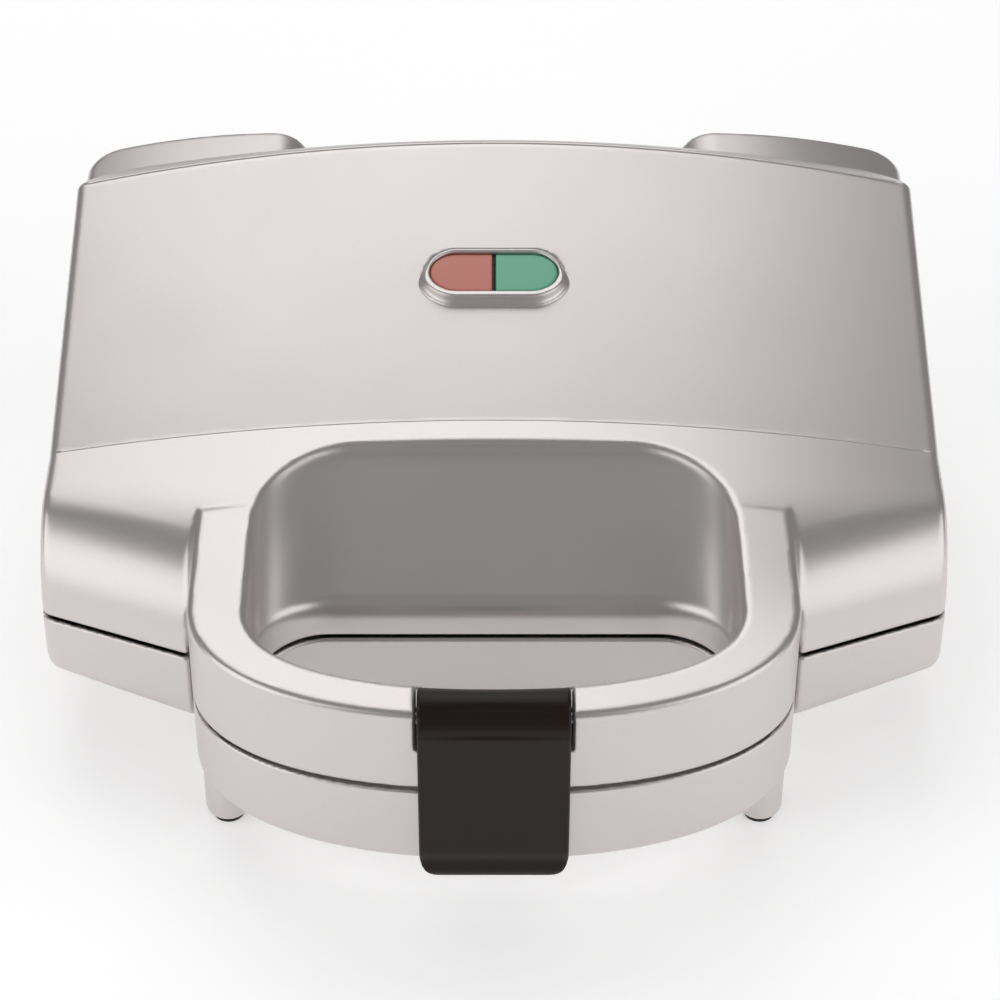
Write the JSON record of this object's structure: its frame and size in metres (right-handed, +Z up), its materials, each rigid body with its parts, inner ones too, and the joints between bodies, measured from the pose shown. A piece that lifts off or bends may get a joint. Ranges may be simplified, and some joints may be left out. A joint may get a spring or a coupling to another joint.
{
  "type": "sandwich toaster",
  "caption": "Clamshell sandwich toaster with a sloping crowned lid, a D-shaped handle loop split at the seam, a pivoting latch, indicator lamps and pocketed plates",
  "frame": {"origin": "on the table, below the middle of the bounding box", "axes": "+X to the toaster's right seen from the front, +Y towards its hinge, +Z up; the handle points towards -Y"},
  "size_m": [0.236, 0.226, 0.0989],
  "materials": {
    "black_plastic": "satin black moulding",
    "brass": "plain",
    "green_lens": "translucent green",
    "lamp_glass": "clear lamp glass",
    "lead_sleeve": "woven glass sleeve",
    "non_stick": "die-cast aluminium with dark non-stick coating",
    "red_lens": "translucent red",
    "rubber": "dark rubber",
    "silver_plastic": "silver metallic paint on moulded plastic",
    "steel": "plain steel",
    "white_plastic": "heat-resistant off-white moulding"
  },
  "bodies": {
    "base": {"base_shell": "silver_plastic", "base_plate": "non_stick", "base_heater": "steel", "base_clamps": "steel", "base_shield": "steel", "base_plate_screws": "steel", "thermostat": "white_plastic", "thermal_fuse": "brass", "terminal_block": "white_plastic", "cord_gland": "black_plastic", "foot_pads": "rubber", "hinge_pins": "steel", "base_leads": "lead_sleeve"},
    "lid": {"lid_shell": "silver_plastic", "lid_plate": "non_stick", "lid_heater": "steel", "lid_clamps": "steel", "lid_shield": "steel", "lid_plate_screws": "steel", "lamp_bezel": "silver_plastic", "red_lens": "red_lens", "green_lens": "green_lens", "lens_divider": "black_plastic", "lamp_holder": "white_plastic", "neon_lamps": "lamp_glass", "lid_leads": "lead_sleeve", "latch_pin": "steel"},
    "latch": {"latch": "black_plastic"}
  },
  "joints": [
    {"name": "lid_hinge", "type": "hinge", "parent": "base", "child": "lid", "pos_m": [0, 0.1025, 0.048], "axis": [-1, 0, 0], "range_deg": [0, 105]},
    {"name": "latch_pivot", "type": "hinge", "parent": "lid", "child": "latch", "pos_m": [0, -0.1055, 0.061], "axis": [-1, 0, 0], "range_deg": [0, 40]}
  ]
}
